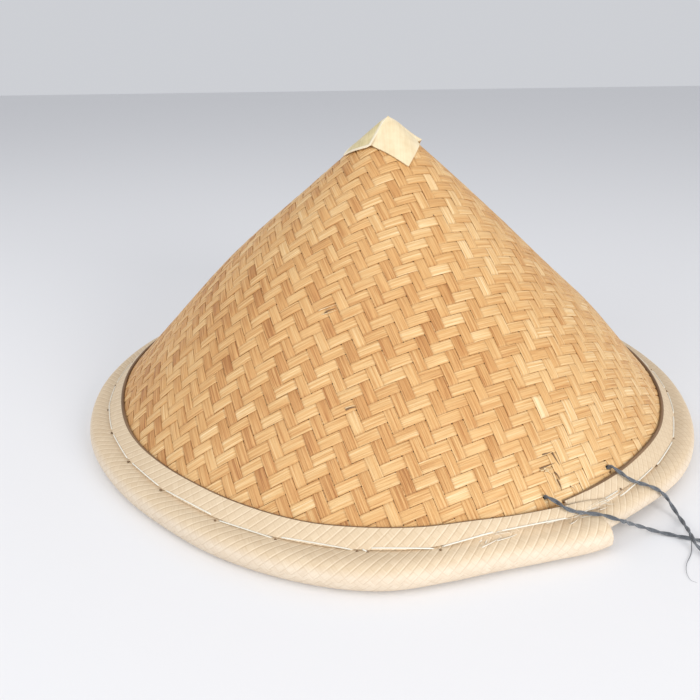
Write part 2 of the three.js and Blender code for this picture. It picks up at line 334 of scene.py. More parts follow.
def stretched_noise(across, along, detail):
    place = add_node(grain_group, "VectorMath", {0: group_in["Place"], 1: (across, along, 1)},
                     operation="MULTIPLY").outputs[0]
    return add_node(grain_group, "TexNoise", {
        "Vector": place, "Scale": 1.0, "Detail": detail, "Roughness": 0.55}).outputs["Fac"]


fine = stretched_noise(4.2, 0.07, 3)
both = scaled(stretched_noise(0.95, 0.02, 2), 0.68, times(fine, 0.32))
near_level = calc("ABSOLUTE", calc("SUBTRACT", stretched_noise(0.85, 0.013, 1), 0.5))
fill(group_out, {"Fibre": both, "Fine": fine, "Line": fading(near_level, 0.0, 0.045)})


def use_group(tree, group, place):
    return fill(add_node(tree, "Group", node_tree=group), {"Place": place}).outputs


def flat_map(tree):
    """The piece's flat map, in millimetres."""
    return add_node(tree, "UVMap", uv_map="lay").outputs["UV"]


def object_place(tree):
    return add_node(tree, "TexCoord").outputs["Object"]


def number_of(tree, name):
    return add_node(tree, "Attribute", attribute_name=name).outputs["Fac"]


def grain(tree):
    """The grain of a piece that has a flat map: fibres, fine fibres and thin dark lines."""
    return use_group(tree, grain_group, flat_map(tree)).values()


def fibre_finish(name, roughness, dark, light, low=0.3, high=0.7, bump=0.5, sheen=0.0):
    """A finish that goes from dark to light with its fibres."""
    finish, tree, shader = new_finish(name, roughness, sheen)
    fibre, fine, _ = grain(tree)
    finish_with(shader, mixed(remap(fibre, low, high), dark, light), fine, bump)
    return finish


# %% [markdown]
# ## The tie cord
# The cord is two dark plies twisted together, 2.5 mm thick. It comes out of one hole near the
# brim, runs over the brim to the table, turns back, crosses over itself and goes in at the
# other hole, and its two ends meet along the inside: one loop. A curve with a bevel would give
# a plain round rod, so each ply is laid as its own tube, winding round the cord's line.

# %% Cord route and plies
CORD_ROUTE = [
    (87.6, -170.5, 25.2), (78.8, -172.9, 25.0), (76.5, -174.2, 25.6), (76.0, -177.0, 28.0),
    (76.5, -178.5, 29.4), (78.1, -180.7, 29.6), (81.4, -183.3, 28.7), (84.6, -186.0, 27.5),
    (88.3, -186.4, 25.9), (91.6, -185.2, 24.0), (96.2, -182.5, 21.4), (100.2, -181.5, 20.2),
    (107.0, -182.3, 19.6), (112.2, -184.7, 19.1), (117.4, -183.6, 16.4), (122.9, -179.1, 11.5),
    (133.3, -174.8, 5.2), (141.9, -174.4, 1.8), (149.4, -176.8, 1.3), (158.7, -180.4, 1.3),
    (171.0, -184.6, 1.3), (184.0, -188.6, 1.3), (193.0, -194.5, 1.3), (195.5, -203.5, 1.3),
    (190.0, -211.5, 1.3), (180.0, -214.0, 1.3), (169.0, -209.5, 1.3), (158.6, -190.6, 2.8),
    (157.2, -183.4, 4.1), (158.0, -179.2, 4.1), (159.7, -170.6, 2.2), (160.2, -164.2, 1.6),
    (158.7, -157.2, 3.8), (154.9, -153.6, 9.4), (150.8, -154.5, 13.6), (146.4, -155.8, 17.3),
    (141.0, -154.9, 19.3), (136.9, -154.3, 20.2), (132.2, -156.8, 23.4), (128.4, -156.8, 25.9),
    (125.4, -156.2, 28.0), (122.5, -155.1, 29.9), (120.7, -153.4, 30.8), (119.8, -151.8, 30.0),
    (118.9, -150.5, 28.5), (116.4, -149.8, 26.3), (114.1, -151.4, 25.5), (103.3, -161.5, 25.2),
    (88.2, -170.2, 25.2),
]
PLY_RADIUS = 0.6
PLY_OFFSET = 0.56
TWIST_LENGTH = 18.0

cord_line = smooth_line(CORD_ROUTE, 12)
cord_along = lengths_along(cord_line)
cord_side, cord_lift = frames_along(cord_line)
print("cord length", round(cord_along[-1], 1), "mm")

# %% Lay the two plies
cord_finish = fibre_finish("twisted cord", 0.75, (0.045, 0.050, 0.058), (0.185, 0.200, 0.220),
                           low=0.35, high=0.65, bump=0.7, sheen=0.25)
ply_lines = []
for ply in range(2):
    wind = 2 * math.pi * cord_along / TWIST_LENGTH + math.pi * ply
    ply_lines.append(cord_line + PLY_OFFSET * (
        np.cos(wind)[:, None] * cord_side + np.sin(wind)[:, None] * cord_lift))
tie_cord = lay_tubes("tie_cord_plies", ply_lines, [PLY_RADIUS] * 2, cord_finish,
                     sides=8, across=0.5, apart=0.0, lean=0.55, alongs=cord_along)
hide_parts("tie_cord")

# %% [markdown]
# ## The slope of the crown
# The crown is nearly a cone: its slope bows outward by 7 mm half way down, and it swells a
# little at the left and right. All that lies on it is placed by three numbers: the angle to
# the right of the front, the distance up the slope from the crown's edge, and how far it
# stands off the outer face.

# %% Places on the slope
EDGE = np.array([205.9, 15.2])
POINT = np.array([0.0, 208.0])
BOW = 6.9
CROWN_WALL = 1.8
SWELLS = [(-98, 133, 2.9, 45, 60), (92, 80, 1.8, 40, 32)]  # angle, up, out, round, tall

share = np.linspace(0, 1, 2001)[:, None]
bend = np.array([EDGE[0] / 2 + 2 * BOW, (EDGE[1] + POINT[1]) / 2])
slope_curve = (1 - share) ** 2 * EDGE + 2 * share * (1 - share) * bend + share**2 * POINT
slope_up = lengths_along(slope_curve)
SLOPE = slope_up[-1]
slope_ahead = np.gradient(slope_curve, slope_up, axis=0)


def on_slope(angle, up, off):
    """Points in millimetres, from arrays of degrees and millimetres."""
    angle, up, off = np.broadcast_arrays(np.asarray(angle, float), up, off)
    inside = np.clip(up, 0, SLOPE)
    past = np.minimum(up, 0)
    along = [np.interp(inside, slope_up, slope_ahead[:, k]) for k in range(2)]
    stand = off.astype(float)
    for middle, height, out, wide, tall in SWELLS:
        away = (angle - middle + 180) % 360 - 180
        stand = stand + out * hump(away, 0, wide) * hump(up, height, tall)
    radius = np.interp(inside, slope_up, slope_curve[:, 0]) + past * along[0] + stand * along[1]
    height = np.interp(inside, slope_up, slope_curve[:, 1]) + past * along[1] - stand * along[0]
    return round_place(angle, radius, height)


print("slope length", round(SLOPE, 1), "mm")

# %% [markdown]
# ## The twill
# The crown is woven from splints 6.7 mm wide, each passing over two and under two. Cut open
# and laid flat, a cone this steep is three quarters of a disc. Straight splints on that disc
# run up and round the cone and down again, and the three quarters give three fans of splints
# that cross two at a time, with no seam. A picture of a weave would be flat at the outline and
# blank inside, so every splint is a real ribbon that rises and dips as it is woven.

# %% Splint finish
splint_finish, tree, shader = new_finish("split bamboo", 0.5)
fibre, fine, line = grain(tree)
tone, dip, rim = [number_of(tree, name) for name in ("tone", "dip", "rim")]
streak = times(calc("SUBTRACT", fibre, 0.5), 1.7)
crack = times(line, scaled(tone, -0.20, 0.28))
level = calc("SUBTRACT", calc("ADD", tone, streak), crack)
ramp = add_node(tree, "ValToRGB", {"Fac": level})
straw = ramp.color_ramp.elements
straw[0].color, straw[1].color = (0.36, 0.15, 0.045, 1), (0.83, 0.63, 0.37, 1)
for position, colour in ((0.25, (0.51, 0.25, 0.085, 1)), (0.5, (0.63, 0.36, 0.14, 1)),
                         (0.75, (0.71, 0.47, 0.22, 1))):
    straw.new(position).color = colour
# painted shade: the splints are darkened where they dive under each other and along their edges,
# between the splints
painted_splint_shade = calc("MAXIMUM", times(calc("POWER", dip, 3.0), 0.28), times(calc("POWER", rim, 3.0), 0.07))
splint_colour = mixed(painted_splint_shade, ramp.outputs["Color"], (0.20, 0.085, 0.026))
finish_with(shader, splint_colour, scaled(line, -0.5, fibre), 0.6, 0.0004)
fill(shader, {"Roughness": remap(fine, 0.3, 0.7, 0.40, 0.60)})

# %% The plan of the weave
SPLINT = 6.66  # from the middle of one splint to the middle of the next
HALF_SPLINT = 0.475 * SPLINT
THICK = 0.56
RISE = 0.35
MIDDLE_OFF = -0.86
WEAVE_TURN = 20.8  # how far the first fan rises to the right across the front
FLAT_SHARE = 0.75
FANS = {"left": WEAVE_TURN - 90, "front": WEAVE_TURN, "back": WEAVE_TURN + 90}
FAN_TONE = {"left": (0.42, 0.085), "front": (0.57, 0.045), "back": (0.56, 0.08)}  # mean, spread
# a painted sheen: how much lighter each fan is painted on the right side of the crown, where its
# splints catch the light
FAN_RIGHT_SHEEN = {"left": 0.34, "front": -0.04, "back": 0.0}  # how much lighter a fan is on the right
REACH = SLOPE - 0.5
HOLES = [(23.2, 18.4), (38.3, 19.4)]  # angle, up
HOLE_HALF = 1.2
HOLE_SLIT = 6.5
PATCHES = [  # angle, up, half as wide in degrees, half as tall, how much lighter
    (-60, 120, 30, 90, 0.02), (0, 200, 100, 40, 0.10), (62, 60, 24, 70, 0.10),
    (28.0, 22.5, 1.2, 4.5, 0.35),
    (10, 30, 40, 40, 0.05), (-25, 170, 14, 40, -0.05), (-21.0, 135, 2.2, 3.5, 0.18),
    # the patch at 22 degrees, 17 mm up is painted light over the shade where splints cross beside
    # the cord hole
    (32, 30, 14, 26, 0.10), (22, 17, 3.5, 4, 0.22),
]
BREAK_TURN = FANS["back"]  # the one ray where the twill changes its way, behind the right ear


def is_over(fan, distance, along):
    """Whether a splint of a fan lies on top where it is crossed, by the twill's counting."""
    reach = math.hypot(distance, along)
    place = FANS[fan] + math.degrees(math.atan2(along, distance))
    past_break = place > BREAK_TURN + 0.01
    turned = math.radians(place - WEAVE_TURN - (270 if past_break else 0))
    column = math.floor(reach * math.sin(turned) / SPLINT + 0.5)
    row = math.floor(-reach * math.cos(turned) / SPLINT + 0.5)
    row_is_over = (column - row + 1) % 4 < 2
    return row_is_over if fan == "front" or past_break else not row_is_over


def fan_place(fan, distance, along, off):
    """Points of a fan's splints: distance from the cone's point to the splint, and along it."""
    reach = np.hypot(distance, along)
    flat_angle = FANS[fan] + np.degrees(np.arctan2(along, distance))
    return on_slope(flat_angle / FLAT_SHARE, SLOPE - reach, off)


# %% Lay the splints
def patch_tone(points):
    """How much lighter the hat is at some places than at others."""
    angle = angle_of(points[:, 0], points[:, 1])
    up = (points[:, 2] - EDGE[1]) / (POINT[1] - EDGE[1]) * SLOPE
    return sum(lighter * hump(angle, middle, wide) * hump(up, height, tall)
               for middle, height, wide, tall, lighter in PATCHES)


class Ribbons:
    """Gathers the ribbons of one fan: points, flat map, tone, dip and rim, and their faces."""

    def __init__(self, fan):
        self.fan, self.blocks, self.faces, self.count = fan, [], [], 0

    def lay(self, number, distance, places, low_edge, high_edge, heights, tones, dips):
        """One closed ribbon: places along it, its two edges, and its height off the middle."""
        section = [(0, 0.25, 1), (0.14, 0.5, 0), (0.86, 0.5, 0), (1, 0.25, 1), (1, -0.5, 1),
                   (0, -0.5, 1)]  # across, up, on the rim
        corners = []
        for side, level, rim in section:
            edge = low_edge + (high_edge - low_edge) * side
            limit = np.sqrt(np.maximum(REACH**2 - (distance + edge) ** 2, 0))
            kept = np.clip(places, -limit, limit)
            laid = fan_place(self.fan, distance + edge, kept, MIDDLE_OFF + heights + level * THICK)
            # the painted sheen on the right side is added to the tone
            right = FAN_RIGHT_SHEEN[self.fan] * hump(angle_of(laid[:, 0], laid[:, 1]), 62, 30)
            tone = tones + patch_tone(laid) + right
            rims = np.full(len(places), rim)
            corners.append(np.column_stack([laid, edge + 23.7 * number, kept, tone, dips, rims]))
        self.faces += ring_faces(self.count, len(places), len(section))
        self.count += len(places) * len(section)
        self.blocks.append(np.stack(corners, 1).reshape(-1, 8))


def splint_profile(fan, distance, start, end, chance):
    """Places along a splint with its height, tone and dip at each."""
    cells = range(math.floor(start / SPLINT + 0.5) - 1, math.floor(end / SPLINT + 0.5) + 2)
    over = {cell: is_over(fan, distance, cell * SPLINT) for cell in cells}
    mean_tone, spread = FAN_TONE[fan]
    splint_tone = mean_tone + chance.gauss(0, spread)
    rows, before = [], None
    for cell in cells:
        if over[cell] != before:
            float_tone = splint_tone + chance.gauss(0, 0.05)
            lift = chance.gauss(0, 0.035)
        height = (RISE if over[cell] else -RISE) + lift
        if before is not None:
            same = over[cell] == before
            crossing = (height, float_tone, 0.0) if same else (0.0, float_tone, 1.0)
            rows.append(((cell - 0.5) * SPLINT, *crossing))
        rows += [((cell + step) * SPLINT, height, float_tone, 0.0) for step in (-0.25, 0.25)]
        before = over[cell]
    return np.array([row for row in rows if start < row[0] < end])


def lay_splint(ribbons, number, distance, start, end, chance):
    """One splint from start to end, parted along its grain where the cord goes through."""
    rows = splint_profile(ribbons.fan, distance, start, end, chance)
    if len(rows) < 2:
        return
    bend, bend_start = chance.uniform(0.05, 0.2), chance.uniform(0, 6.3)
    half = HALF_SPLINT * chance.uniform(0.94, 1.0)
    high = REACH - 0.3 - distance
    places = np.concatenate([[start], rows[:, 0], [end]])
    columns = [np.interp(places, rows[:, 0], rows[:, k]) for k in (1, 2, 3)]
    parts = [(places, None)]
    for angle, up in HOLES:
        away = math.radians(angle * FLAT_SHARE - FANS[ribbons.fan])
        beside = (SLOPE - up) * math.cos(away) - distance
        hole_along = (SLOPE - up) * math.sin(away)
        first, last = hole_along - HOLE_SLIT, hole_along + HOLE_SLIT
        if abs(beside) < half + HOLE_HALF * 0.6 and start < first and last < end:
            inner = np.linspace(first, last, 17)
            parts = [(np.concatenate([places[places < first - 0.5], [first]]), None),
                     (inner, (beside, hole_along)),
                     (np.concatenate([[last], places[places > last + 0.5]]), None)]
    for part_places, hole in parts:
        heights, tones, dips = [np.interp(part_places, places, column) for column in columns]
        sway = bend * np.sin(part_places / 14 + bend_start)
        low_edge, high_edge = sway - half, np.minimum(sway + half, high)
        edges = [(low_edge, high_edge)]
        if hole:
            beside, hole_along = hole
            from_hole = (part_places - hole_along) / HOLE_SLIT
            gap = HOLE_HALF * np.clip(1 - from_hole**2, 0, 1) + 0.02
            low_half = (low_edge, np.clip(beside - gap, low_edge + 0.25, high_edge))
            high_half = (np.clip(beside + gap, low_edge, high_edge - 0.25), high_edge)
            edges = ([low_half] * (beside > HOLE_HALF - half)
                     + [high_half] * (beside + HOLE_HALF < half))
        for pair in edges:
            ribbons.lay(number, distance, part_places, *pair, heights, tones, dips)


# %% Weave the three fans
for fan_number, fan in enumerate(FANS):
    chance = random.Random(41 + fan_number)
    ribbons = Ribbons(fan)
    lay_splint(ribbons, 0, 0.0, 5.0, REACH - 0.2, chance)
    for number in range(1, int(REACH / SPLINT + 0.5) + 1):
        distance = number * SPLINT
        end = math.sqrt(REACH**2 - (distance - HALF_SPLINT) ** 2) - 0.2
        lay_splint(ribbons, number, distance, -end, end, chance)
    table = np.vstack(ribbons.blocks)
    piece = new_piece("splints_" + fan, table[:, :3], ribbons.faces,
                      splint_finish, smooth_angle=40)
    write_uv(piece, *table[:, 3:5].T)
    for name, values in zip(("tone", "dip", "rim"), table[:, 5:].T):
        write_attribute(piece, name, values)
    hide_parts("crown")

# %% [markdown]
# ## The sheath on the point
# A pale, smooth sheath is folded over the point in three leaves, with a fold standing at each
# crease. A circle is extruded inward ring by ring to a point, each ring is laid on the slope,
# and the sheet then gets its thickness from a modifier.

# %% Sheath finish
sheath_finish, tree, shader = new_finish("cap sheath", 0.42)
fibre = grain(tree)[0]
clouds = add_node(tree, "TexNoise", {
    "Vector": object_place(tree), "Scale": 130.0, "Detail": 4.0})
blend_level = remap(calc("ADD", fibre, clouds.outputs["Fac"]), 0.76, 1.24)
cream = mixed(blend_level, (0.70, 0.56, 0.34), (0.80, 0.68, 0.46))
# painted shade: the left leaf of the sheath is painted darker and greener, as shade
shaded_olive = mixed(blend_level, (0.52, 0.43, 0.20), (0.74, 0.62, 0.36))
cream = mixed(number_of(tree, "left_leaf_shade"), cream, shaded_olive)
cream = mixed(number_of(tree, "turned_edge"), cream, (0.84, 0.75, 0.57))
# painted shadow: a dark line along the front crease, where the edge of the left leaf shades the
# front leaf
cream = mixed(times(number_of(tree, "crease"), 0.6), cream, (0.33, 0.19, 0.10))
finish_with(shader, cream, blend_level, 0.25)

# %% Fold the sheath
CAP_CREASE = -33  # the angle of the crease in front; the others are a third of a turn away
CAP_LEAF = 120
CAP_POSTS = [  # angle and distance down the slope of the creases' feet and the leaves' corners
    (-153, 27), (-82, 39), (-33, 27), (19.8, 44), (87, 27), (139.8, 44), (207, 27),
]
CAP_SIDES = 240
CAP_RINGS = 24
CAP_WALL = 0.8
OPENED = EDGE[0] / SLOPE  # an angle on the flat leaf for each degree round the cone


def cap_reach(angle):
    """How far down the slope the sheath reaches, along the straight edges of its flat leaves."""
    keys, lengths = np.array(CAP_POSTS, float).T
    angle = np.where(angle < keys[0], angle + 360, angle)
    row = np.clip(np.searchsorted(keys, angle, side="right") - 1, 0, len(keys) - 2)
    whole = np.radians((keys[row + 1] - keys[row]) * OPENED)
    part = np.radians((angle - keys[row]) * OPENED)
    first, second = lengths[row], lengths[row + 1]
    straight = first * second * np.sin(whole)
    straight /= first * np.sin(part) + second * np.sin(whole - part)
    bulge = 1.5 * np.sin(np.pi * np.clip((angle + 82) / 49, 0, 1))
    return straight + bulge - 2.0 * hump(angle, 77, 5)


bpy.ops.mesh.primitive_circle_add(vertices=CAP_SIDES, radius=1.0, fill_type="NOTHING")
cap = bpy.context.object
cap.name = "sheath_cap"
bpy.ops.object.mode_set(mode="EDIT")
bpy.ops.mesh.select_all(action="SELECT")
for ring in range(CAP_RINGS - 1, 0, -1):
    bpy.ops.mesh.extrude_edges_move()
    shrink = ring / (ring + 1)
    bpy.ops.transform.resize(value=(shrink, shrink, 1), center_override=(0, 0, 0))
bpy.ops.mesh.extrude_edges_move()
bpy.ops.mesh.merge(type="CENTER")
bpy.ops.object.mode_set(mode="OBJECT")

east, north, _ = mesh_places(cap).T
cap_share = np.hypot(east, north)
cap_angle = angle_of(east, north)
to_crease = (cap_angle - CAP_CREASE + CAP_LEAF / 2) % CAP_LEAF - CAP_LEAF / 2
down = cap_share * cap_reach(cap_angle)
left_leaf = (cap_angle < CAP_CREASE - 0.4) & (cap_angle > CAP_CREASE - CAP_LEAF)
from_crease = down * np.sin(np.radians(np.minimum(np.abs(to_crease), 90) * OPENED))
from_edge = (1 - cap_share) * cap_reach(cap_angle)
turned_edge = left_leaf * np.clip(1.9 - np.minimum(from_crease, from_edge) / 1.4, 0, 1)
fold = hump(to_crease, 0, 7) * (0.25 + 0.75 * cap_share)
fold += 1.3 * hump(cap_angle, 88, 5) * cap_share**5
lip = 0.5 * hump(cap_angle, -56, 17) * cap_share**8
blunt = np.clip(1 - down / 8, 0, 1) ** 2 * 1.4
laid = on_slope(cap_angle, SLOPE - down, 0.35 + CAP_WALL + fold + lip + 0.3 * turned_edge - blunt)
laid[cap_share < 1e-4] = (0, 0, 208.8)
lay_mesh(cap, laid)
print("sheath reaches", round(float(down.max()), 1), "mm down the slope")

# %% Give the sheath its wall
turn_faces_outward()
top_face = max(cap.data.polygons, key=lambda face: face.center.z)
if top_face.normal.z < 0:
    cap.data.flip_normals()
opened_angle = np.radians(cap_angle * OPENED)
write_uv(cap, down * np.sin(opened_angle), down * np.cos(opened_angle))
# the left leaf gets the painted shade
write_attribute(cap, "left_leaf_shade", left_leaf)
write_attribute(cap, "turned_edge", turned_edge)
# where the painted shadow of the crease goes
front_crease_shadow = hump(to_crease, 1.5, 1.4) * (np.abs(cap_angle) < 40)
write_attribute(cap, "crease", front_crease_shadow * np.clip(cap_share / 0.3 - 2, 0, 1))
thicken(cap, CAP_WALL, offset=-1)
finish_piece(cap, sheath_finish, smooth_angle=50)
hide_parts("apex_cap")

# %% [markdown]
# ## The rolled mat
# A strip of plaited mat is rolled into a rim that holds the crown's edge. Its plait of
# narrow strips shows as slanting lines on its top and as diamonds on the bright outer face. A
# long grid has the right rows, so one is added and each row is laid on its own section, which
# starts thin at the right of the front and ends in a blunt cut. The grid's sides are then
# joined and its ends filled. The plait is raised on it a little, and its finish draws the same
# plait from the piece's flat map.

# %% Plait group
PLAIT_PERIOD = 5.9  # from one slanting line of the plait to the next, measured round the rim
plait_group, group_in, group_out = new_group(
    "Plaited strips", {"Place": "Vector"},
    ["Height", "Seam", "Cross", "Painted Highlight", "Strip Tone", "Fibre"])


def from_line(value):
    share = calc("FRACT", value)
    return calc("MINIMUM", share, calc("SUBTRACT", 1.0, share))


def either(when_one, when_zero):
    """Picks one of two values by which strip is on top."""
    return scaled(calc("SUBTRACT", when_one, when_zero), first_on_top, when_zero)


across, along, _ = add_node(plait_group, "SeparateXYZ", {0: group_in["Place"]}).outputs
first, second = [calc("DIVIDE", calc(operation, across, along), PLAIT_PERIOD)
                 for operation in ("ADD", "SUBTRACT")]
first_floor, second_floor = calc("FLOOR", first), calc("FLOOR", second)
first_on_top = calc("FLOORED_MODULO", calc("ADD", first_floor, second_floor), 2.0)
falling, rising = from_line(first), from_line(second)
# the line beside each seam, where the painted highlight goes
beside = calc("ABSOLUTE", calc("SUBTRACT", calc("FRACT", second), 0.84))
strip_tone = add_node(plait_group, "TexWhiteNoise", noise_dimensions="1D")
fill(strip_tone, {"W": either(second_floor, calc("ADD", first_floor, 500.5))})
grain_place = add_node(plait_group, "CombineXYZ", {
    0: times(either(second, first), PLAIT_PERIOD), 1: times(either(first, second), PLAIT_PERIOD)})
fill(group_out, {
    "Height": times(remap(falling, 0.0, 0.13, 0.7), remap(rising, 0.0, 0.13)),
    "Seam": fading(rising, 0.02, 0.09), "Cross": fading(falling, 0.015, 0.07),
    "Painted Highlight": fading(beside, 0.02, 0.10), "Strip Tone": strip_tone.outputs["Value"],
    "Fibre": use_group(plait_group, grain_group, grain_place.outputs[0])["Fibre"]})

# %% Mat finish
mat_finish, tree, shader = new_finish("plaited mat", 0.62)
plait = use_group(tree, plait_group, flat_map(tree))
mat_level = scaled(plait["Strip Tone"], 0.16, times(plait["Fibre"], 0.9))
mat_level = remap(mat_level, 0.25, 0.85)
place = add_node(tree, "SeparateXYZ", {0: object_place(tree)}).outputs
top = remap(place["Z"], 0.0120, 0.0155)  # 0 on the roll's outer face, 1 above it
# The top is partly the mat's own tone and partly painted shade: it is painted a darker tan than
# the paler outer face, which faces the light.
mat_colour = mixed(top, mixed(mat_level, (0.61, 0.49, 0.36), (0.75, 0.65, 0.52)),
                   mixed(mat_level, (0.57, 0.43, 0.275), (0.71, 0.575, 0.405)))
right = remap(place["X"], 0.12, 0.18)  # both sets of lines show alike there
# painted highlight: a light line beside each seam, where the strips' ridges catch the light;
# stronger on the top and weaker at the right
painted_highlight = times(plait["Painted Highlight"], scaled(top, 0.35, 0.1))
painted_highlight = times(painted_highlight, scaled(right, -0.8, 1.0))
mat_colour = mixed(painted_highlight, mat_colour, (0.83, 0.71, 0.54))
seam_share = scaled(top, 0.20, 0.20)
cross_share = scaled(right, 0.20, scaled(top, -0.02, 0.17))
seams = calc("MAXIMUM", times(plait["Seam"], seam_share), times(plait["Cross"], cross_share))
mat_colour = mixed(seams, mat_colour, (0.42, 0.28, 0.15))
mat_height = scaled(plait["Fibre"], 0.22, plait["Height"])
finish_with(shader, mat_colour, mat_height, 0.5, 0.00025)

# %% Sections of the roll
ROLL_HEIGHT = 17.6
ROLL_NOSE = 8.6
ROLL_START = 30.5
ROLL_OUTLINE = np.array([  # angle, outer radius, clearance under
    (32, 212.3, 3.6), (40, 213.2, 3.4), (47, 215.5, 2.4), (54, 218.4, 0.7), (61, 219.8, 0),
    (90, 220.4, 0), (125, 219.2, 0), (180, 220.6, 0), (235, 219.0, 0), (272, 220.6, 0),
    (292, 219.8, 0), (310, 216.8, 0), (320, 216.4, 0), (333, 218.8, 0), (347, 221.2, 0),
    (357, 220.9, 0), (366, 215.8, 0), (373, 213.2, 0), (381, 215.2, 0), (387, 219.0, 0),
    (392, 221.0, 0),
])
BAND_EDGES = np.array([  # angle, upper edge, lower edge, up the slope
    (26, 13.1, 5.2), (37, 14.2, 6.0), (48, 14.3, 3.4), (61, 12.5, 1.7), (80, 13.2, 1.9),
    (130, 14.0, 2.3), (200, 13.4, 2.5), (260, 15.0, 2.0), (284, 15.8, 2.0), (301, 14.2, 3.6),
    (322, 14.7, 3.6), (333, 13.5, 2.5), (345, 12.0, 1.7), (352, 12.3, 1.6), (362, 12.9, 2.6),
    (370, 13.8, 5.9), (378, 12.6, 6.4), (385, 10.8, 5.0), (389, 9.0, 4.9), (393, 5.6, 4.9),
])


def read_table(table, column, angles):
    """A smooth curve through the rows of a table."""
    keys, values = table[:, 0], table[:, column]
    row = np.clip(np.searchsorted(keys, angles, side="right") - 1, 0, len(keys) - 2)
    before, after = np.maximum(row - 1, 0), np.minimum(row + 2, len(keys) - 1)
    width = keys[row + 1] - keys[row]
    share = (angles - keys[row]) / width
    start_rate = (values[row + 1] - values[before]) / (keys[row + 1] - keys[before])
    end_rate = (values[after] - values[row]) / (keys[after] - keys[row])
    left = 1 - share
    return (values[row] * (1 + 2 * share) * left**2 + values[row + 1] * (3 - 2 * share) * share**2
            + width * share * left * (start_rate * left - end_rate * share))


def flat_place(angle, up, off):
    """Radius and height of places on the slope."""
    points = on_slope(angle, up, off)
    return np.stack([np.hypot(points[..., 0], points[..., 1]), points[..., 2]], -1)


def roll_section(angle):
    """The closed outline of the roll at one angle, from the nose up, over and inward."""
    outer = read_table(ROLL_OUTLINE, 1, max(angle, 32))
    under = max(read_table(ROLL_OUTLINE, 2, max(angle, 32)), 0)
    lower = read_table(BAND_EDGES, 2, 26 + (angle - 26) % 360)
    lip = flat_place(angle, lower + 0.9, 0.1)
    crest = outer - ROLL_NOSE
    half = (ROLL_HEIGHT - under) / 2
    turns = [math.radians(degree) for degree in range(-90, 91, 10)]
    nose = [(crest + ROLL_NOSE * math.cos(turn), under + half + half * math.sin(turn))
            for turn in turns]
    shoulder = (lip[0] * 0.6 + crest * 0.4, lip[1] * 0.4 + ROLL_HEIGHT * 0.6)
    inner_lip = flat_place(angle, 3.0, -CROWN_WALL - 0.3)
    slot = [flat_place(angle, -0.4, off) for off in (0.3, -CROWN_WALL - 0.3)]
    inner = [(198 * 0.7 + inner_lip[0] * 0.3, 11.8), (198.0, under + 5.5), (199.15, under + 1.7),
             (202.6, under)]
    return np.array([*nose[9:], shoulder, lip, *slot, inner_lip, *inner, *nose[:10]])


# %% Rings of the roll
ROLL_RINGS = 1100
ROLL_ROUND = 56
ROLL_MAP_RADIUS = 212.0
PLAIT_LIFT = 0.08
roll_angles = np.linspace(ROLL_START, ROLL_START + 359.9, ROLL_RINGS + 1)
roll_rings, roll_lengths = [], []
for angle in roll_angles:
    closed = roll_section(angle)
    lengths = lengths_along(closed)
    even = np.linspace(0, lengths[-1], ROLL_ROUND + 1)
    roll_rings.append(np.stack([np.interp(even, lengths, closed[:, k]) for k in range(2)], 1))
    roll_lengths.append(even)
roll_rings, roll_lengths = np.array(roll_rings)[:, :-1], np.array(roll_lengths)

slot_place = flat_place(180, 1.5, -0.9)
free = 1 - hump(np.linalg.norm(roll_rings[ROLL_RINGS // 2] - slot_place, axis=1), 0, 4.5)
for _ in range(3):
    between = (np.roll(roll_rings, 1, 1) + np.roll(roll_rings, -1, 1)) / 2
    roll_rings += 0.5 * free[None, :, None] * (between - roll_rings)


# %% Raise the plait on the rings
def plait_height(across, along):
    """0 in the seams to 1 on the strips, the same plait as the finish draws."""
    lines = [np.abs((value / PLAIT_PERIOD + 0.5) % 1 - 0.5)
             for value in (across + along, across - along)]
    return np.clip(0.6 + lines[0], 0, 1) * np.clip(lines[1] / 0.3, 0, 1)


round_ahead = np.roll(roll_rings, -1, 1) - np.roll(roll_rings, 1, 1)
round_ahead /= np.linalg.norm(round_ahead, axis=2)[..., None]
outward = np.stack([round_ahead[..., 1], -round_ahead[..., 0]], -1)
roll_round = np.radians(roll_angles) * ROLL_MAP_RADIUS
raised = PLAIT_LIFT * (plait_height(roll_round[:, None], roll_lengths[:, :-1]) - 0.6)
lumps = 0.2 * (np.sin(roll_round / 17.0) * np.sin(roll_round / 41.0 + 1.3))[:, None]
ends = np.interp(roll_angles, [ROLL_START, ROLL_START + 0.6, 390.0, 390.4], [0, 1, 1, 0])[:, None]
roll_rings = roll_rings + outward * ((raised + lumps) * free[None, :] * ends)[..., None]
closing = 0.03 * np.clip((roll_angles - 390.1) / 0.3, 0, 1)[:, None] ** 2 * free
roll_rings += (roll_rings.mean(axis=1, keepdims=True) - roll_rings) * closing[..., None]
roll_rings[..., 1] = np.maximum(roll_rings[..., 1], 0.0)
roll_rings = np.concatenate([roll_rings, roll_rings[:, :1]], 1)

# %% Lay the rings on a grid and close it
roll, ring_share, side_share = new_grid("rolled_mat", ROLL_RINGS, ROLL_ROUND)
ring_number = np.rint(ring_share * ROLL_RINGS).astype(int)
side_number = np.rint(side_share * ROLL_ROUND).astype(int)
radius, height = roll_rings[ring_number, side_number].T
ring_angle = roll_angles[ring_number]
cut_slant = 1.3 * np.clip(1 - height / 7, 0, 1) * np.clip((ring_angle - 388.4) / 2, 0, 1)
lay_mesh(roll, round_place(ring_angle + cut_slant, radius, height))
write_uv(roll, roll_round[ring_number], roll_lengths[ring_number, side_number])
bpy.ops.object.mode_set(mode="EDIT")
bpy.ops.mesh.select_all(action="SELECT")
bpy.ops.mesh.remove_doubles(threshold=1e-6)
bpy.ops.mesh.select_all(action="DESELECT")
bpy.ops.mesh.select_non_manifold()
bpy.ops.mesh.edge_face_add()
bpy.ops.object.mode_set(mode="OBJECT")
turn_faces_outward()
finish_piece(roll, mat_finish, smooth_angle=60)
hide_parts("brim_roll")

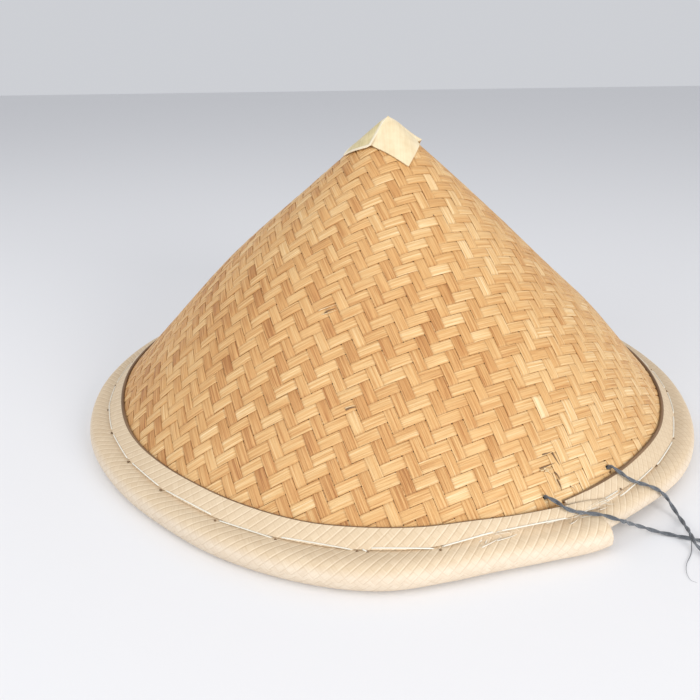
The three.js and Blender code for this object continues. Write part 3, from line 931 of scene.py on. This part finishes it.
# %% [markdown]
# ## The flat band
# A flat strip of the same mat covers the foot of the crown. It is a long grid laid once round
# the slope, and its tapered tail climbs over its own start at the right of the front. Solidify
# gives it its thickness.

# %% Lay the band
BAND_START, BAND_TAIL, BAND_CLIMB = 26.0, 393.0, 374.0
BAND_THICK = 2.0
BAND_STEPS, BAND_ROWS = 1000, 8
BAND_MAP_RADIUS, BAND_MAP_UP = 200.0, 3.1


def band_bottom(angle):
    """How far the underside of the band stands off the slope."""
    climb = np.clip((angle - BAND_CLIMB) / (BAND_START + 359 - BAND_CLIMB), 0, 1)
    return 0.3 + climb**2 * (3 - 2 * climb) * 2.5


band, round_share, band_share = new_grid("flat_band", BAND_STEPS, BAND_ROWS)
band_angle = BAND_START + (BAND_TAIL - BAND_START) * round_share
upper = read_table(BAND_EDGES, 1, band_angle)
lower = read_table(BAND_EDGES, 2, band_angle)
band_up = lower + (upper - lower) * band_share
band_round = np.radians(band_angle) * BAND_MAP_RADIUS
band_lift = PLAIT_LIFT * (plait_height(band_round, band_up + BAND_MAP_UP) - 0.6)
band_lift *= np.sin(np.pi * band_share) ** 0.5
band_off = band_bottom(band_angle) + 1.1 + band_lift - 0.9 * band_share**3
lay_mesh(band, on_slope(band_angle, band_up, band_off))
turn_faces_outward()
write_uv(band, band_round, band_up + BAND_MAP_UP)
thicken(band, BAND_THICK, offset=0)
finish_piece(band, mat_finish, smooth_angle=50)
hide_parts("brim_band")

# %% [markdown]
# ## The brown edge of the band and its painted shade
# The band's upper edge shows as a thin dark brown line all round: partly the mat's own brown cut
# edge, and partly painted shade of the gap between the band and the crown. It is a thin tube
# along that edge.

# %% Brown edge and its painted shade
EDGE_RADII = [  # angle, radius of the brown edge
    (30, 0.85), (40, 1.15), (294, 1.15), (318, 0.72), (385, 0.62), (390.8, 0.2),
]
# dark brown, partly the edge's own colour and partly painted shade; the stitch holes and the
# cracks use it as painted shade too
brown_and_shade_finish = fibre_finish("brown edge and painted shade", 0.6, (0.12, 0.068, 0.033), (0.28, 0.17, 0.09), bump=0.4)
edge_angles = np.linspace(BAND_START - 0.1, 390.8, 730)
edge_up = read_table(BAND_EDGES, 1, edge_angles) + 0.1
edge_line = on_slope(edge_angles, edge_up, band_bottom(edge_angles) + 0.35)
edge_radius = np.interp(edge_angles, *np.array(EDGE_RADII).T)
lay_tubes("brown_edge_and_shade", [edge_line], [edge_radius], brown_and_shade_finish,
          sides=8, across=0.6, alongs=np.radians(edge_angles) * 197)

# %% [markdown]
# ## Stitches
# A pale thread sews the band down along its lower edge in long running stitches. Each stitch
# is a short tube that lies on the mat and dives into it at both ends.

# %% Sew the band
thread_finish = fibre_finish("pale thread", 0.7, (0.68, 0.62, 0.50), (0.88, 0.86, 0.78), sheen=0.2)
THREADS = [  # angle and distance up the slope where each thread comes out, and where it dives
    (-76.5, 2.2, -65.6, 3.3), (-64.3, 3.3, -54.2, 3.5), (-52.6, 3.9, -42.8, 4.0),
    (-41.5, 4.0, -30.3, 3.4), (-29.2, 1.9, -19.7, 1.2), (-18.8, 2.3, -7.7, 1.3),
    (-6.4, 1.8, -5.7, 0.8), (-5.5, 2.6, 3.7, 2.3), (4.9, 3.0, 12.9, 7.2), (13.6, 7.0, 24.7, 4.9),
    (32.0, 5.8, 36.7, 6.4), (36.9, 3.1, 48.0, 3.9), (49.2, 2.9, 59.2, 1.2), (60.4, 1.4, 68.3, 3.2),
]
HOLES_OF_THREADS = [
    (-65.2, 2.4), (-53.7, 2.7), (-42.3, 2.8), (-29.7, 1.4), (-19.3, 0.9), (-7.3, 0.8), (-5.8, 0.7),
    (4.4, 1.6), (37.2, 6.3), (48.8, 2.9), (60.2, 0.6),
]
THREAD_RADIUS = 0.4
chance = random.Random(7)
angle = 69.5
while angle < 280:
    length = chance.uniform(8.5, 12)
    ups = read_table(BAND_EDGES, 2, np.array([angle, angle + length])) + 0.1
    THREADS.append((angle, ups[0] + 0.4, angle + length, ups[1] - 0.2))
    HOLES_OF_THREADS.append((angle + length + 0.4, ups[1] - 0.9))
    angle += length + 1.0
share = np.linspace(0, 1, 18)
bury = 1.5 * (hump(share, 0, 0.035) + hump(share, 1, 0.035))
thread_lines = []
for from_angle, from_up, to_angle, to_up in THREADS:  # straight on the opened cone
    start, end = round_place(np.array([from_angle, to_angle]) * FLAT_SHARE,
                             SLOPE - np.array([from_up, to_up]), np.zeros(2))
    east, north, _ = start[:, None] + (end - start)[:, None] * share
    angles = np.degrees(np.unwrap(np.arctan2(east, -north))) / FLAT_SHARE
    angles += 480 * np.round((from_angle - angles[0]) / 480)
    on_band = np.where(angles < BAND_START, angles + 360, angles)
    off = band_bottom(on_band) + 2.35 - bury
    thread_lines.append(on_slope(angles, SLOPE - np.hypot(east, north), off))
lay_tubes("stitches", thread_lines, [THREAD_RADIUS] * len(THREADS), thread_finish,
          sides=6, across=0.4, apart=11.3, alongs=share * 40)

# %% [markdown]
# ## Frayed fibres and broken splinters
# Where the tail of the band lies over its start the mat has frayed into pale fibres, and two
# splints above it have broken into slivers. Each fibre is a thin tapered tube, placed by
# chance from a fixed seed so that it comes out the same every time.

# %% Frayed fibres
def lay_fibres(name, lines, radii, finish):
    """Tubes that end in a point."""
    tapers = [radius * np.clip(1.15 - np.linspace(0, 1, len(line)), 0.15, 1)
              for line, radius in zip(lines, np.broadcast_to(radii, len(lines)))]
    lay_tubes(name, lines, tapers, finish)


chance = random.Random(19)
fray_lines, fray_radii = [], []
for _ in range(22):
    start = chance.choice((chance.uniform(10, 33), chance.uniform(27, 34)))
    up = 8.5
    if start < 33:
        up = read_table(BAND_EDGES, 2, start + 360) + chance.uniform(-0.8, 1.6)
    sweep, rise = chance.uniform(2.0, 5.5), chance.uniform(0.2, 1.0)
    drop = chance.uniform(-2.5, 1.2)
    share = np.linspace(0, 1, 10)
    base = band_bottom(min(start + 360, BAND_TAIL)) + 2.1
    off = base + 0.15 + rise * np.sin(np.pi * share * 0.8) - 1.2 * share
    fray_lines.append(on_slope(start + sweep * share, up + drop * share**1.5, off))
    fray_radii.append(chance.uniform(0.08, 0.17))
TORN_STRIPS = [  # angle and radius of places on the roll's top
    [(10.4, 208.5), (12.8, 205.2), (15.4, 201.2)],
    [(13.0, 205.5), (15.4, 204.4), (17.3, 202.5), (18.6, 199.5)],
    [(10.5, 204.2), (13.0, 199.6), (14.8, 198.9)], [(11.2, 205.8), (12.1, 202.0), (13.7, 199.4)],
    [(25.1, 207.2), (26.2, 206.5), (27.5, 205.3)], [(27.6, 205.7), (28.7, 206.6), (29.8, 208.2)],
    [(31.3, 206.0), (32.0, 206.5), (33.1, 206.7)], [(32.8, 201.1), (33.5, 204.9), (34.5, 207.4)],
    [(19.5, 203.0), (21.0, 202.0), (22.6, 200.6)],
]
for strip in TORN_STRIPS:
    places = smooth_line([(angle, radius, 18.3) for angle, radius in strip], 4)
    fray_lines.append(round_place(*places.T))
    fray_radii.append(0.28)
lay_fibres("frayed_fibres", fray_lines, fray_radii, thread_finish)

# %% Painted shade in the holes of the stitches
deep = np.array([2.9, 2.3, 1.0])
hole_lines = [on_slope(at + 0.05 * deep, up - 0.2 * deep + 0.4, deep)
              for at, up in HOLES_OF_THREADS]
# dark tubes sunk where each thread dives: painted shade of its hole
lay_fibres("stitch_hole_shade", hole_lines, 0.75, brown_and_shade_finish)

# %% Broken splinters
sliver_finish = fibre_finish("bare sliver", 0.6, (0.66, 0.47, 0.25), (0.86, 0.70, 0.44),
                             low=0.0, high=1.0)
# The cracks are dark tubes of painted shade in the gaps of the broken splints; the list below
# gives their places.
SLITS = [  # places of dark cracks: angle, distance up the slope
    [(25.7, 40.2), (26.7, 40.1), (27.9, 40.1)], [(27.9, 39.6), (28.0, 35.8), (28.3, 31.7)],
    [(24.1, 33.5), (25.8, 33.7), (27.6, 33.9)], [(26.7, 29.2), (27.0, 27.1), (27.1, 24.5)],
    [(26.6, 25.2), (26.7, 22.0), (26.6, 19.2)],
    [(-22.0, 131.1), (-21.2, 133.0), (-19.8, 134.4), (-18.9, 135.6)],
    [(24.1, 199.9), (24.3, 199.2)], [(-11.5, 74.6), (-10.5, 76.0), (-9.3, 76.8)],
]
SLIVERS = [
    [(28.6, 19.7), (29.0, 17.8), (29.3, 15.4)], [(26.2, 29.0), (26.2, 24.5), (26.4, 19.5)],
    [(25.0, 31.7), (25.6, 29.8), (25.9, 27.0)], [(24.8, 33.1), (25.5, 31.7), (26.2, 30.7)],
    [(24.8, 31.1), (25.6, 31.2), (26.7, 31.4)], [(24.1, 32.2), (25.1, 32.2), (26.0, 32.3)],
    [(-24.0, 132.3), (-22.1, 134.5), (-20.0, 136.6), (-18.9, 137.9)],
    [(-22.7, 130.0), (-20.4, 131.9), (-18.2, 134.4)],
    [(-11.7, 75.4), (-10.4, 76.9), (-9.5, 77.6)],
]


def marks_on_slope(marks, off):
    lines = [smooth_line(mark, 4) for mark in marks]
    return [on_slope(*line.T, off + 0.25 * np.sin(np.linspace(0, 3, len(line)))) for line in lines]


# painted shade in the cracks
lay_fibres("splint_crack_shade", marks_on_slope(SLITS, -0.25), 0.5, brown_and_shade_finish)
lay_fibres("splint_slivers", marks_on_slope(SLIVERS, 0.15), 0.3, sliver_finish)

# %% Loose fibre of the cord
LOOSE_FIBRE = [
    (157.4, -182.7, 2.0), (154.6, -189.2, 0.4), (151.6, -193.8, 0.3), (148.2, -198.0, 0.3),
    (145.5, -202.9, 0.3), (144.2, -207.3, 0.3), (144.3, -210.9, 0.3), (146.5, -212.7, 0.3),
]
lay_fibres("loose_cord_fibre", [smooth_line(LOOSE_FIBRE, 5)], 0.2, cord_finish)

# %% [markdown]
# ## Floor and light
# The hat lies on a plain pale floor. The light is soft and comes mostly from the front, as a
# large window would give it, so the rim's outer face is brighter than its top. The mat's
# finish also paints its top darker, as painted shade.

# %% Floor
floor_finish, tree, shader = new_finish("pale floor", 0.9)
fill(shader, {"Base Color": (0.80, 0.80, 0.81, 1)})
bpy.ops.mesh.primitive_plane_add(size=8, location=(0, 0, 0))
floor = bpy.context.object
floor.name = "floor"
floor.data.materials.append(floor_finish)

# %% Lights
def soft_light(name, place, size, power, color=(1, 1, 1)):
    data = bpy.data.lights.new(name, "AREA")
    data.shape, data.size, data.energy, data.color = "DISK", size, power, color
    light = bpy.data.objects.new(name, data)
    bpy.context.collection.objects.link(light)
    light.location = place
    ahead = Vector((0, 0, 0.05)) - Vector(place)
    light.rotation_euler = ahead.to_track_quat("-Z", "Y").to_euler()


soft_light("window", (1.05, -1.42, 0.5), 0.9, 22, (1.0, 0.99, 0.98))
soft_light("left wall", (-1.4, -0.8, 0.7), 1.1, 7)
soft_light("ceiling", (-0.6, -0.7, 1.5), 1.4, 7)
world = bpy.data.worlds.new("room")
bpy.context.scene.world = world
world.use_nodes = True
fill(world.node_tree.nodes["Background"], {"Color": (0.93, 0.95, 1.0, 1), "Strength": 0.66})
bpy.context.scene.view_settings.view_transform = "Standard"
